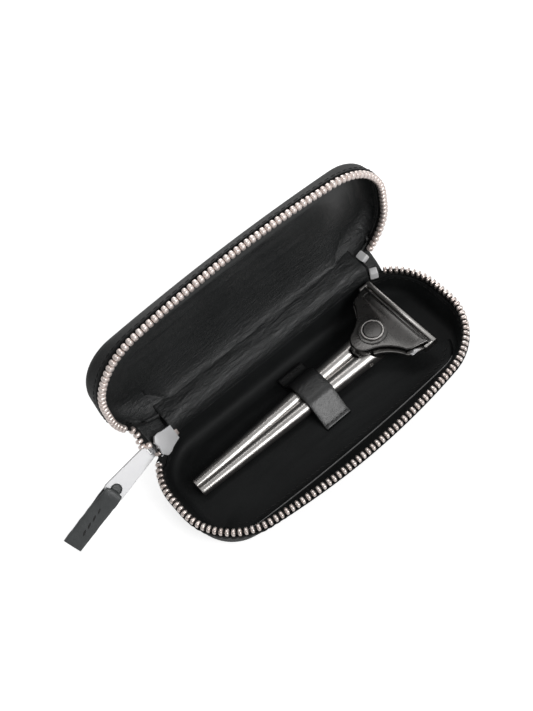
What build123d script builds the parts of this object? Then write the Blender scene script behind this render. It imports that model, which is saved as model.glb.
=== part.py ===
from build123d import *
import os
from math import atan2, cos, degrees, radians, sin, sqrt

# Zip-round leather travel case for a single-edge razor, lying open at a right angle.
# Millimetres. +X runs along the case towards the razor's head, +Y towards the spine, +Z up.
# The origin is the centre of the base's flat underside.

# Zip line, the closed curve that the middle of the zip tape follows
ZIP_LENGTH = 152.0
ZIP_WIDTH = 67.9
ZIP_BACK_Y = 32.0
ZIP_FRONT_RADIUS = 321.0
ZIP_FRONT_CORNER = 29.2
ZIP_BACK_CORNER = 26.8

# Layers of the wall, from the outside in
LEATHER = 1.2
BOARD = 0.8
LINING = 0.8
PANEL = 0.8
ZIP_DEPTH = LEATHER + BOARD / 2
BOARD_DEPTH = LEATHER
LINING_DEPTH = LEATHER + BOARD
INNER_DEPTH = LEATHER + BOARD + LINING

# Heights above each half's crown: the leather rim lies below the plane where the halves meet
BASE_HEIGHT = 18.6
LID_HEIGHT = 15.3
RIM_DROP = 3.6
TAPE_SEWN = 5.4
TAPE_TOP_DROP = 1.4
EDGE_ROUND = 5.4

# Crown outlines: half length, front y, back y, front corner radius and back corner radius
BASE_CROWN = (73.0, -27.0, 31.6, 16.0, 20.0)
LID_CROWN = (77.2, -25.0, 32.6, 19.0, 22.0)
CROWN_FRONT_RADIUS = 900.0

# Fold of the spine, about an axis on the outer face of the back wall
AXIS_Y = ZIP_BACK_Y + ZIP_DEPTH
AXIS_Z = BASE_HEIGHT
SPINE_LEFT = -53.4
SPINE_RIGHT = 58.0
SOFT_GAP = 0.3

# Zip teeth
TOOTH_PITCH = 2.65
TOOTH_LENGTH = 1.4
TOOTH_THICK = 3.0
TOOTH_HEIGHT = 3.0
TOOTH_TIP_GAP = 0.25
BASE_FIRST_ANGLE = 40.0
LID_FIRST_ANGLE = 31.0
LAST_ANGLE = 58.0

# Slider, parked at the left end of the spine
SLIDER_ANGLE = 60.2
SLIDER_LENGTH = 12.0
SLIDER_NOSE = 10.4
SLIDER_TAIL = 7.0
SLIDER_GAP = 3.4
SLIDER_PLATE = 1.1
PULL_WIDTH = 8.6
PULL_LENGTH = 28.0
PULL_THICK = 1.2
PULL_AXIS_OUT = 4.5
PULL_AXIS_NOSE = 3.4
TAB_WIDTH = 8.4
TAB_LENGTH = 30.0
TAB_LEATHER = 1.0
TAB_ROOM = 1.2
TAB_NECK = 3.2
TAB_DROOP = 27.5

# Razor, lying along the case with its handle on the floor panel
FLOOR_Z = INNER_DEPTH + PANEL
RAZOR_Y = 6.0
RAZOR_FLOOR = FLOOR_Z + 0.2
TAIL_X = -63.5
NECK_X = 30.0
HANDLE_END_X = 38.5
TAIL_WIDTH = 9.0
NECK_WIDTH = 16.6
TAIL_THICK = 5.2
NECK_THICK = 8.6
PIVOT_X = 30.0
PIVOT_Z = 8.4
PIN_RADIUS = 1.2
SLOT_X = 26.8
SLOT_WIDTH = 6.4
TONGUE_WIDTH = 6.0
HEAD_BOTTOM = 13.2
HEAD_TOP = 17.2
GUARD_THICK = 1.2
BLADE_THICK = 0.25
BLADE_LENGTH = 39.4
HEAD_HALF = 22.0
BUTTON_X = 39.2
BUTTON_RADIUS = 4.3
BUTTON_TOP = 19.0

# Strap over the handle
STRAP_X = 2.6
STRAP_WIDTH = 14.0
STRAP_THICK = 1.2


def outline(half, front_y, back_y, corner, back_corner, front_radius, inset=0.0):
    """Rounded outline with a straight back and ends and a gently bowed front, as a face."""
    a = half - inset
    r1 = max(corner - inset, 1.0)
    r2 = max(back_corner - inset, 1.0)
    big = front_radius - inset
    back = back_y - inset
    centre_y = front_y + front_radius
    corner_y = centre_y - sqrt((big - r1) ** 2 - (a - r1) ** 2)
    swing = degrees(atan2(corner_y - centre_y, a - r1))
    lines = Curve() + [
        Line((a, corner_y), (a, back - r2)),
        CenterArc((a - r2, back - r2), r2, 0, 90),
        Line((a - r2, back), (-a + r2, back)),
        CenterArc((-a + r2, back - r2), r2, 90, 90),
        Line((-a, back - r2), (-a, corner_y)),
        CenterArc((-a + r1, corner_y), r1, 180, -swing),
        CenterArc((0, centre_y), big, -180 - swing, 180 + 2 * swing),
        CenterArc((a - r1, corner_y), r1, swing, -swing),
    ]
    return make_face(lines.edges())


def zip_face(inset):
    """Face inside the zip line, moved in by the inset."""
    return outline(ZIP_LENGTH / 2, ZIP_BACK_Y - ZIP_WIDTH, ZIP_BACK_Y, ZIP_FRONT_CORNER,
                   ZIP_BACK_CORNER, ZIP_FRONT_RADIUS, inset)


def dish(height, crown, depth):
    """Solid bounded by the dish's surface at the given depth below its outer skin."""
    bottom = outline(*crown, CROWN_FRONT_RADIUS, depth)
    rim = zip_face(depth - ZIP_DEPTH)
    solid = loft([Pos(0, 0, depth) * bottom, Pos(0, 0, height - RIM_DROP) * rim], ruled=True)
    low = solid.edges().group_by(Axis.Z)[0]
    return fillet(low, max(EDGE_ROUND - depth, 1.6))


def layer(height, crown, near, far):
    """One layer of a dish's wall and floor, between two depths."""
    return dish(height, crown, near) - dish(height, crown, far)


def block(x0, x1, y0, y1, z0, z1):
    """Box between two corners."""
    centre = Pos((x0 + x1) / 2, (y0 + y1) / 2, (z0 + z1) / 2)
    return centre * Box(x1 - x0, y1 - y0, z1 - z0)


def closed_lid(shape):
    """Turn a dish that was drawn crown down over, onto the base."""
    return Pos(0, 0, BASE_HEIGHT + LID_HEIGHT) * Rot(Y=180) * shape


def opened_lid(shape):
    """Swing a piece of the closed lid back to a right angle about the spine."""
    axis = Pos(0, AXIS_Y, AXIS_Z)
    return axis * Rot(X=-90) * Pos(0, -AXIS_Y, -AXIS_Z) * shape


def corner_point(angle, side):
    """Point on a back corner of the zip line, the angle measured from the end towards the spine."""
    r = ZIP_BACK_CORNER
    x = ZIP_LENGTH / 2 - r + r * cos(radians(angle))
    y = ZIP_BACK_Y - r + r * sin(radians(angle))
    return side * x, y


def zip_path(first_angle):
    """Zip line from the slider's corner round the front to the far end of the spine."""
    r = ZIP_BACK_CORNER
    centre = (ZIP_LENGTH / 2 - r, ZIP_BACK_Y - r)
    edges = zip_face(0.0).edges().sort_by(Axis.Y)
    rounds = [e for e in edges if e.center().Y < centre[1]]
    left = CenterArc((-centre[0], centre[1]), r, 180 - first_angle, first_angle)
    right = CenterArc(centre, r, 0, LAST_ANGLE)
    return Wire([left.edge()] + rounds + [right.edge()])


def path_frames(path, start, pitch, end):
    """Positions and headings along a path at a steady pitch."""
    frames = []
    flip = path.position_at(0).X > 0
    place = start
    while place <= path.length - end:
        at = path.length - place if flip else place
        p = path.position_at(at, position_mode=PositionMode.LENGTH)
        t = path.tangent_at(at, position_mode=PositionMode.LENGTH)
        frames.append((p, degrees(atan2(t.Y, t.X)) + (180 if flip else 0)))
        place += pitch
    return frames


def tooth():
    """One tooth: legs that clamp the tape's edge and a chamfered head, its tip just below z = 0."""
    half = TOOTH_THICK / 2
    slot = BOARD / 2 + 0.06
    tip = -TOOTH_TIP_GAP
    foot = tip - TOOTH_HEIGHT
    seat = -TAPE_TOP_DROP
    profile = Polyline((-half, foot), (-slot, foot), (-slot, seat), (slot, seat), (slot, foot),
                       (half, foot), (half, tip - 1.0), (half - 0.7, tip), (0.7 - half, tip),
                       (-half, tip - 1.0), close=True)
    return Rot(Z=90) * extrude(Plane.XZ * make_face(profile), TOOTH_LENGTH / 2, both=True)


def teeth(first_angle, offset, heading):
    """Teeth along the zip line, pointing up for the base and down for the lid."""
    shape = tooth()
    frames = path_frames(zip_path(first_angle), TOOTH_LENGTH + offset, TOOTH_PITCH, TOOTH_LENGTH)
    return [Pos(p.X, p.Y, BASE_HEIGHT) * Rot(Z=turn) * Rot(X=heading) * shape for p, turn in frames]


def slider_notch(low, high):
    """Room for the slider at the left end of the spine, between two heights."""
    return block(-71.5, SPINE_LEFT + 0.4, 20.5, 40.0, low, high)


def stop_notch(low, high):
    """Short gap at the right end of the spine, where both chains end."""
    return block(SPINE_RIGHT - 0.4, 64.6, 25.2, 40.0, low, high)


def spine_zone(margin=0.0):
    """Space along the back where no zip is sewn in."""
    return block(SPINE_LEFT + margin, SPINE_RIGHT - margin, 20.0, 45.0, -1.0, 40.0)


def zip_tape(height, crown):
    """Tape sewn in between the leather and the lining, standing up past the rim."""
    rim = height - RIM_DROP
    low = block(-90, 90, -50, 50, rim - TAPE_SEWN, 40)
    sewn = layer(height, crown, BOARD_DEPTH, LINING_DEPTH) & low
    ring = zip_face(BOARD_DEPTH - ZIP_DEPTH) - zip_face(LINING_DEPTH - ZIP_DEPTH)
    free = extrude(Pos(0, 0, rim) * ring, height - TAPE_TOP_DROP - rim)
    return sewn + free


def board(height, crown):
    """Stiff board that keeps the leather in shape, ending below the sewn tape."""
    whole = layer(height, crown, BOARD_DEPTH, LINING_DEPTH)
    tape_space = block(-90, 90, -50, 50, height - RIM_DROP - TAPE_SEWN, 40)
    return whole - (tape_space - spine_zone(5.0))


def panel(crown):
    """Flat leather panel glued over the floor of the lining."""
    face = outline(crown[0] - 5.6, crown[1] + 5.6, crown[2] - 5.6, crown[3] - 3.6, crown[4] - 4.6,
                   CROWN_FRONT_RADIUS)
    return extrude(Pos(0, 0, INNER_DEPTH) * face, PANEL)


def panel_stitches(crown):
    """Row of short stitches 2 mm inside the panel's edge."""
    face = outline(crown[0] - 7.0, crown[1] + 7.0, crown[2] - 7.0, crown[3] - 5.0, crown[4] - 6.0,
                   CROWN_FRONT_RADIUS)
    path = face.face().outer_wire()
    count = int(path.length / 4.4)
    stitch = Box(2.6, 0.5, 0.3)
    row = []
    for i in range(count):
        p = path.position_at(i / count)
        t = path.tangent_at(i / count)
        row.append(Pos(p.X, p.Y, FLOOR_Z + 0.15) * Rot(Z=degrees(atan2(t.Y, t.X))) * stitch)
    return row


def base_parts():
    """The lower half of the case."""
    notch = slider_notch(11.0, 40.0) + stop_notch(12.6, 40.0)
    spec = (BASE_HEIGHT, BASE_CROWN)
    return {
        "base_outer_shell": layer(*spec, 0.0, BOARD_DEPTH) - notch,
        "base_board": board(*spec) - notch,
        "base_lining": layer(*spec, LINING_DEPTH, INNER_DEPTH) - notch,
        "base_zip_tape": zip_tape(*spec) - notch - spine_zone(),
        "base_zip_teeth": teeth(BASE_FIRST_ANGLE, 0.0, 0),
        "base_floor_panel": panel(BASE_CROWN),
        "base_panel_stitches": panel_stitches(BASE_CROWN),
    }


def lid_parts():
    """The upper half of the case, swung open to a right angle."""
    top = BASE_HEIGHT + LID_HEIGHT
    notch = slider_notch(0.0, top - 11.0 + 3.0) + stop_notch(0.0, top - 9.3)
    spec = (LID_HEIGHT, LID_CROWN)

    def place(shape, cut=True):
        shape = closed_lid(shape)
        return opened_lid(shape - notch if cut else shape)

    tape = closed_lid(zip_tape(*spec)) - notch - spine_zone()
    return {
        "lid_outer_shell": place(layer(*spec, 0.0, BOARD_DEPTH)),
        "lid_board": place(board(*spec)),
        "lid_lining": place(layer(*spec, LINING_DEPTH, INNER_DEPTH)),
        "lid_zip_tape": opened_lid(tape),
        "lid_zip_teeth": [opened_lid(t) for t in teeth(LID_FIRST_ANGLE, TOOTH_PITCH / 2, 180)],
        "lid_panel": place(panel(LID_CROWN), False),
        "lid_panel_stitches": [place(s, False) for s in panel_stitches(LID_CROWN)],
    }


def fold_section(x, near, far, foot_z, end_y):
    """Section of the spine's fold at x: up the back wall, round the axis and out along the lid."""
    reach = abs(x) - (ZIP_LENGTH / 2 - ZIP_BACK_CORNER)
    shift = 0.0 if reach <= 0 else ZIP_BACK_CORNER - sqrt(ZIP_BACK_CORNER ** 2 - reach ** 2)
    y = AXIS_Y - shift
    z = AXIS_Z + shift
    if near > 0:
        inner = [Line((y - near, foot_z), (y - near, z)), CenterArc((y, z), near, 180, -90),
                 Line((y, z + near), (end_y, z + near))]
    else:
        inner = [Line((y, foot_z), (y, z)), Line((y, z), (end_y, z))]
    edges = inner + [
        Line((end_y, z + near), (end_y, z + far)),
        Line((end_y, z + far), (y, z + far)),
        CenterArc((y, z), far, 90, 90),
        Line((y - far, z), (y - far, foot_z)),
        Line((y - far, foot_z), (y - near, foot_z)),
    ]
    return Plane((x, 0, 0), x_dir=(0, 1, 0), z_dir=(1, 0, 0)) * make_face(Curve() + edges)


def fold(near, far):
    """One layer of the spine's fold along its whole length."""
    places = [SPINE_LEFT, -49.2, 49.2, 54.0, SPINE_RIGHT]
    foot_z = BASE_HEIGHT - RIM_DROP
    end_y = AXIS_Y + RIM_DROP - SOFT_GAP
    return loft([fold_section(x, near, far, foot_z, end_y) for x in places], ruled=True)


def spine_parts():
    """Outer leather and lining of the spine, which bend when the lid moves."""
    return {
        "spine_leather": fold(0.0, LEATHER),
        "spine_lining": fold(LINING_DEPTH, INNER_DEPTH),
    }


def slider_place(shape):
    """Put a slider piece on the zip line, turned halfway between the base and the open lid."""
    x, y = corner_point(SLIDER_ANGLE, -1)
    return Pos(x, y, BASE_HEIGHT) * Rot(X=-45) * Rot(Z=90 - SLIDER_ANGLE) * shape


def slider_outline(inset=0.0):
    """Slider plate seen from outside: narrow tail at +x, wide shouldered nose at -x."""
    h = SLIDER_LENGTH / 2 - inset
    nose = SLIDER_NOSE / 2 - inset
    tail = SLIDER_TAIL / 2 - inset
    pts = [(h, -tail), (h, tail), (0.5, tail + 0.9), (-1.6, nose), (-4.2, nose), (-h, nose - 2.2),
           (-h + 1.0, 0.0), (-h, 2.2 - nose), (-4.2, -nose), (-1.6, -nose), (0.5, -tail - 0.9)]
    return make_face(Polyline(*pts, close=True))


def upright(face, y):
    """Stand a face that was drawn flat up in the plane of the slider's plates."""
    return Plane((0, y, 0), x_dir=(1, 0, 0), z_dir=(0, -1, 0)) * face


def slider_body():
    """Two plates, the wedge between them at the nose and the flanges that steer the teeth."""
    gap = SLIDER_GAP / 2
    plate = slider_outline()
    rim = (slider_outline() - slider_outline(0.9)) & Pos(3.4, 0) * Rectangle(5.6, 12)
    wedge = make_face(Polyline((-5.4, 0.0), (-4.2, 1.3), (-1.4, 0.0), (-4.2, -1.3), close=True))
    body = extrude(upright(plate, -gap), SLIDER_PLATE)
    body += extrude(upright(plate, gap + SLIDER_PLATE), SLIDER_PLATE)
    body += extrude(upright(wedge, gap), 2 * gap)
    body += extrude(upright(rim, gap), gap - 0.7)
    body += extrude(upright(rim, -0.7), gap - 0.7)
    return body


def slider_bridge():
    """Arched bridge on the outer plate that holds the pull."""
    top = SLIDER_GAP / 2 + SLIDER_PLATE
    arch = Polyline((-5.5, top), (-5.3, top + 2.7), (-4.0, top + 3.5), (1.6, top + 3.5),
                    (3.6, top + 1.9), (4.2, top), close=True)
    hole = Polyline((-5.05, top), (-4.85, top + 2.4), (-3.8, top + 2.85), (1.2, top + 2.85),
                    (2.7, top + 1.5), (3.2, top), close=True)
    return extrude(make_face(arch) - make_face(hole), 1.3, both=True)


def bottom_stop():
    """Square clamp that ends the chain behind the slider's tail."""
    x = SLIDER_LENGTH / 2
    return block(x, x + 2.6, -1.5, 1.5, -2.8, 2.8)


def pull_place(shape):
    """Put a piece drawn about the pull's axis onto the slider; it runs out along -X."""
    eye = Pos(-PULL_AXIS_NOSE, PULL_AXIS_OUT, 0)
    return slider_place(eye * Rot(Z=SLIDER_ANGLE - 90) * shape)


def pull_plate():
    """Flat pull: an eye round the bridge, a plain shank and a D-shaped window near its end."""
    shank = Pos(-PULL_LENGTH / 2 + 1.35, 0) * RectangleRounded(PULL_LENGTH - 0.1, PULL_WIDTH, 1.6)
    eye = Pos(-1.0, 0) * RectangleRounded(3.8, 3.4, 0.5)
    end = -PULL_LENGTH + 1.4
    window = Curve() + [
        Line((end + 1.4, -3.2), (end + 1.4, 3.2)),
        Line((end + 1.4, 3.2), (end + 3.4, 3.2)),
        ThreePointArc((end + 3.4, 3.2), (end + 6.6, 0.0), (end + 3.4, -3.2)),
        Line((end + 3.4, -3.2), (end + 1.4, -3.2)),
    ]
    plate = shank - eye - make_face(window)
    body = extrude(upright(plate, PULL_THICK / 2), PULL_THICK)
    return body


def tab_section():
    """Side view of the folded tab: two layers meeting behind a loop round the pull's end bar."""
    room = TAB_ROOM
    skin = room + TAB_LEATHER
    joint = -6.4
    outer = Curve() + [
        Line((-TAB_LENGTH, -TAB_LEATHER), (joint, -TAB_LEATHER)),
        Line((joint, -TAB_LEATHER), (-0.8, -skin)),
        Line((-0.8, -skin), (0.9, -skin)),
        ThreePointArc((0.9, -skin), (1.1 + skin, 0.0), (0.9, skin)),
        Line((0.9, skin), (-0.8, skin)),
        Line((-0.8, skin), (joint, TAB_LEATHER)),
        Line((joint, TAB_LEATHER), (-TAB_LENGTH, TAB_LEATHER)),
        Line((-TAB_LENGTH, TAB_LEATHER), (-TAB_LENGTH, -TAB_LEATHER)),
    ]
    inner = Curve() + [
        Line((joint + 1.6, 0.0), (-0.8, -room)),
        Line((-0.8, -room), (0.9, -room)),
        ThreePointArc((0.9, -room), (1.1 + room, 0.0), (0.9, room)),
        Line((0.9, room), (-0.8, room)),
        Line((-0.8, room), (joint + 1.6, 0.0)),
    ]
    return make_face(outer) - make_face(inner)


def tab_place(shape):
    """Put a tab piece, drawn about the pull's end bar, where it droops in the pull's plane."""
    bar = Pos(-PULL_LENGTH + 1.4 + 0.7, 0, 0)
    return pull_place(bar * Rot(Y=-TAB_DROOP) * shape)


def leather_tab():
    """Folded strip of leather looped through the pull's window."""
    strip = extrude(tab_section(), TAB_WIDTH / 2, both=True)
    trim = block(-3.6, 5.0, -4.0, 4.0, TAB_NECK / 2, 6.0)
    return strip - trim - mirror(trim, Plane.XY)


def tab_stitches():
    """Stitches through both layers, down the middle of the tab."""
    stitch = Box(2.2, 0.3, 0.6)
    row = []
    for side in (-1, 1):
        for i in range(5):
            x = -9.0 - 3.8 * i
            row.append(tab_place(Pos(x, side * (TAB_LEATHER + 0.15), 0) * stitch))
    return row


def chain_end():
    """The end of the lid's chain, where it leaves the rim and bends over towards the slider."""
    sx, sy = corner_point(SLIDER_ANGLE, -1)
    lx, ly = corner_point(LID_FIRST_ANGLE + 4.0, -1)
    start = Vector(lx, AXIS_Y, AXIS_Z + AXIS_Y - ly)
    finish = Vector(sx - 6.6, sy - 1.2, BASE_HEIGHT + 4.4)
    along = (finish - start).normalized()
    pieces = []
    faces = []
    for k in (0.1, 0.32, 0.54):
        up = (Vector(0, -1, 0) * (1 - k) + Vector(0, -0.8, -0.6) * k).normalized()
        side = up.cross(along).normalized()
        frame = Plane(start * (1 - k) + finish * k, x_dir=along, z_dir=along.cross(side))
        pieces.append(frame.location * tooth())
    for k in (0.04, 0.62):
        side = Vector(0, -1, 0).cross(along).normalized()
        high = along.cross(side)
        foot = start * (1 - k) + finish * k + high * (-TOOTH_HEIGHT - TOOTH_TIP_GAP - 1.5)
        faces.append(Plane(foot, x_dir=side, z_dir=along) * Rectangle(BOARD * 0.8, 3.0))
    return pieces + [loft(faces, ruled=True)]


def top_stop():
    """Bright clip that ends one side of the zip, drawn like a long tooth."""
    body = block(-1.9, 1.9, -1.7, 1.7, -4.4, -0.25)
    return fillet(body.edges().filter_by(Axis.Y), 0.7) - block(-3, 3, -0.4, 0.4, -5, -1.4)


def top_stops():
    """One clip on each tape at the right end of the spine."""
    x, y = corner_point(LAST_ANGLE + 6.0, 1)
    turn = LAST_ANGLE + 6.0 + 90
    base = Pos(x, y, BASE_HEIGHT) * Rot(Z=turn) * top_stop()
    lid = opened_lid(Pos(x, y, BASE_HEIGHT) * Rot(Z=turn) * Rot(X=180) * top_stop())
    return {"base_top_stop": base, "lid_top_stop": lid}


def strap_points():
    """Middle line of the strap across the case: front foot, over the handle, rear foot."""
    top = RAZOR_FLOOR + NECK_THICK + 0.1
    low = FLOOR_Z + STRAP_THICK / 2
    y = RAZOR_Y
    return [(y - 17.0, low), (y - 11.6, low), (y - 7.6, top - 0.4), (y, top + STRAP_THICK / 2 - 0.2),
            (y + 7.6, top - 0.4), (y + 11.8, low), (y + 17.4, low)]


def strap_parts():
    """Leather strap sewn to the floor on both sides of the handle, and its stitches."""
    pts = strap_points()
    path = FilletPolyline(*pts, radius=2.4)
    plane = Plane((0, 0, 0), x_dir=(0, 1, 0), z_dir=(1, 0, 0))
    ribbon = trace(path, STRAP_THICK)
    strap = Pos(STRAP_X, 0, 0) * (plane * extrude(ribbon, STRAP_WIDTH / 2, both=True))
    rows = []
    for y in (pts[0][0] + 1.6, pts[-1][0] - 1.6):
        for i in range(5):
            x = STRAP_X - STRAP_WIDTH / 2 + 1.8 + 2.6 * i
            rows.append(Pos(x, y, FLOOR_Z + STRAP_THICK + 0.15) * Box(1.9, 0.6, 0.3))
    return {"strap": strap, "strap_stitches": rows}


def handle_width(x):
    """Width of the handle, which widens evenly from tail to neck."""
    return TAIL_WIDTH + (NECK_WIDTH - TAIL_WIDTH) * (x - TAIL_X) / (NECK_X - TAIL_X)


def handle_thick(x):
    """Thickness of the handle, which swells evenly from tail to neck."""
    return TAIL_THICK + (NECK_THICK - TAIL_THICK) * (x - TAIL_X) / (NECK_X - TAIL_X)


def lobe(side):
    """One of the handle's two tapering round bars, both lying on the floor line."""
    ends = []
    for x in (TAIL_X, HANDLE_END_X):
        r = handle_thick(x) / 2
        plane = Plane((x, side * (handle_width(x) / 2 - r), RAZOR_FLOOR + r), x_dir=(0, 1, 0),
                      z_dir=(1, 0, 0))
        ends.append(plane * Circle(r))
    return loft(ends, ruled=True)


def razor_handle():
    """Double-barrelled handle with a flat tail, a slotted end for the head and a slanted nose."""
    body = lobe(-1) + lobe(1)
    web_z = RAZOR_FLOOR + TAIL_THICK / 2
    body += block(TAIL_X, 26.0, -1.4, 1.4, web_z - 1.4, web_z + 1.6)
    slope = make_face(Polyline((31.0, 13.0), (40.0, 4.0), (44.0, 4.0), (44.0, 16.0), (31.0, 16.0),
                               close=True))
    side_plane = Plane((0, 20, 0), x_dir=(1, 0, 0), z_dir=(0, -1, 0))
    body -= extrude(side_plane * slope, 40)
    body -= block(SLOT_X, 50.0, -SLOT_WIDTH / 2, SLOT_WIDTH / 2, 0.0, 20.0)
    pin_hole = Pos(PIVOT_X, 0, PIVOT_Z) * Rot(X=90) * Cylinder(PIN_RADIUS, 40)
    return body - pin_hole


def head_outline(grow=0.0):
    """T-shaped plan of the head: round boss, hollow sides, wings and a straight front lip."""
    g = grow
    boss = 5.8 + g
    wing = 17.4 + g
    lip = 20.6 + g
    side = []
    for s in (1, -1):
        side.append([
            ThreePointArc((31.4, s * boss), (39.0, s * (10.6 + g)), (43.4, s * wing)),
            Line((43.4, s * wing), (45.2, s * (wing + 1.2))),
            Line((45.2, s * (wing + 1.2)), (53.2 + g, s * lip)),
        ])
    front = Line((53.2 + g, lip), (53.2 + g, -lip))
    back = ThreePointArc((31.4, boss), (27.6 - g, 0.0), (31.4, -boss))
    return make_face(Curve() + (side[0] + side[1] + [front, back]))


def head_plate():
    """Cast T-plate: lip, shallow recess, button seat and the tongue that pivots in the handle."""
    body = extrude(Pos(0, 0, HEAD_BOTTOM) * head_outline(), HEAD_TOP - HEAD_BOTTOM)
    top = [e for e in body.edges() if e.center().Z > HEAD_TOP - 0.01]
    body = fillet(top, 0.7)
    body -= block(48.4, 51.6, -17.0, 17.0, HEAD_TOP - 0.5, HEAD_TOP + 1)
    body += Pos(52.4, 0, HEAD_TOP - 0.35) * Rot(X=90) * Cylinder(0.7, 38.0)
    body += Pos(BUTTON_X, 0, HEAD_TOP + 0.1) * Cylinder(6.8, 0.8)
    body -= Pos(BUTTON_X, 0, 15.0) * Cylinder(BUTTON_RADIUS + 0.08, 8.0)
    body -= Pos(BUTTON_X, 0, HEAD_BOTTOM + 1.1) * Cylinder(BUTTON_RADIUS + 0.9, 2.2)
    tongue = block(27.4, 32.6, -TONGUE_WIDTH / 2, TONGUE_WIDTH / 2, PIVOT_Z, HEAD_BOTTOM)
    tongue += Pos(PIVOT_X, 0, PIVOT_Z) * Rot(X=90) * Cylinder(2.6, TONGUE_WIDTH)
    return body + tongue - Pos(PIVOT_X, 0, PIVOT_Z) * Rot(X=90) * Cylinder(PIN_RADIUS + 0.05, 12)


def head_guard():
    """Lower plate with raised end cheeks and the ribbed bar in front of the blade."""
    top = HEAD_BOTTOM - BLADE_THICK
    low = top - GUARD_THICK
    plan = head_outline(0.6) & block(33.4, 60, -30, 30, -1, 1)
    body = extrude(Pos(0, 0, low) * plan.faces()[0], GUARD_THICK)
    body += block(52.0, 55.6, -HEAD_HALF, HEAD_HALF, low, top)
    bar = block(54.4, 57.2, -HEAD_HALF, HEAD_HALF, low, HEAD_TOP - 1.2)
    bar = fillet(bar.edges().filter_by(Axis.Y).group_by(Axis.Z)[-1], 1.2)
    for side in (-1, 1):
        bar += block(50.6, 54.8, side * 21.4 - 0.6, side * 21.4 + 0.6, low, HEAD_TOP - 1.6)
    for i in range(22):
        y = (i - 10.5) * 1.8
        bar -= block(56.6, 58.0, y - 0.35, y + 0.35, low + 1.2, HEAD_TOP)
    return body + bar - Pos(BUTTON_X, 0, low) * Cylinder(1.4, 6)


def razor_head_parts():
    """Blade, button and springs of the razor's head."""
    guard_top = HEAD_BOTTOM - BLADE_THICK
    blade = block(44.6, 54.2, -BLADE_LENGTH / 2, BLADE_LENGTH / 2, guard_top, HEAD_BOTTOM)
    slot = block(42.0, 47.6, -2.0, 2.0, 0, 20)
    collar_z = HEAD_BOTTOM + 2.2 - 0.9
    button = Pos(BUTTON_X, 0, (collar_z + BUTTON_TOP) / 2) * Cylinder(BUTTON_RADIUS,
                                                                      BUTTON_TOP - collar_z)
    button = fillet(button.edges().group_by(Axis.Z)[-1], 0.5)
    for i in range(24):
        rib = Pos(BUTTON_RADIUS, 0, 18.0) * Box(0.36, 0.5, 1.0)
        button -= Pos(BUTTON_X, 0, 0) * Rot(Z=15 * i) * rib
    button += Pos(BUTTON_X, 0, collar_z + 0.4) * Cylinder(BUTTON_RADIUS + 0.75, 0.8)
    button += Pos(BUTTON_X, 0, (11.6 + collar_z) / 2) * Cylinder(1.2, collar_z - 11.6)
    ring = Pos(BUTTON_X, 0, (guard_top + collar_z) / 2) * Cylinder(3.4, collar_z - guard_top)
    ring -= Pos(BUTTON_X, 0, 14) * Cylinder(2.4, 8)
    return {"razor_blade": blade - slot, "release_button": button, "button_spring": ring}


def pivot_parts():
    """Pin through the handle's end and the leaf spring that holds the head up."""
    pin = Pos(PIVOT_X, 0, PIVOT_Z) * Rot(X=90) * Cylinder(PIN_RADIUS, NECK_WIDTH - 2.4)
    leaf = Curve() + [
        Line((SLOT_X, 4.4), (SLOT_X, 4.7)),
        ThreePointArc((SLOT_X, 4.7), (31.6, 6.2), (32.9, 11.4)),
        Line((32.9, 11.4), (33.2, 11.4)),
        ThreePointArc((33.2, 11.4), (31.9, 6.0), (SLOT_X, 4.4)),
    ]
    plane = Plane((0, 0, 0), x_dir=(1, 0, 0), z_dir=(0, -1, 0))
    spring = extrude(plane * make_face(leaf), 2.4, both=True)
    return {"pivot_pin": pin, "pivot_spring": spring}


def razor_parts():
    """The razor, moved to its line in the case."""
    parts = {"razor_handle": razor_handle(), "head_plate": head_plate(), "head_guard": head_guard()}
    parts.update(razor_head_parts())
    parts.update(pivot_parts())
    return {name: Pos(0, RAZOR_Y, 0) * shape for name, shape in parts.items()}


def slider_parts():
    """Slider, pull, tab and the chain's end beside them."""
    return {
        "slider_body": slider_place(slider_body()),
        "slider_bridge": slider_place(slider_bridge()),
        "zip_bottom_stop": slider_place(bottom_stop()),
        "pull_plate": pull_place(pull_plate()),
        "leather_tab": tab_place(leather_tab()),
        "tab_stitches": tab_stitches(),
        "lid_chain_end": chain_end(),
    }


def as_shape(piece):
    """One shape from a piece, with a list joined into a group of separate solids."""
    solids = []
    for item in piece if isinstance(piece, list) else [piece]:
        solids += item.solids()
    return solids[0] if len(solids) == 1 else Compound(children=solids)


def build():
    """Every piece of the object, by node name."""
    parts = {}
    for group in (base_parts, lid_parts, spine_parts, slider_parts, top_stops, strap_parts,
                  razor_parts):
        parts.update(group())
    return {name: as_shape(piece) for name, piece in parts.items()}


def main():
    """Write one file for each piece."""
    os.makedirs("parts", exist_ok=True)
    for name, shape in build().items():
        export_step(shape, f"parts/{name}.step")


main()
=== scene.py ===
import math
import bpy
import bmesh
from mathutils import Matrix, Vector, noise


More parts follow.
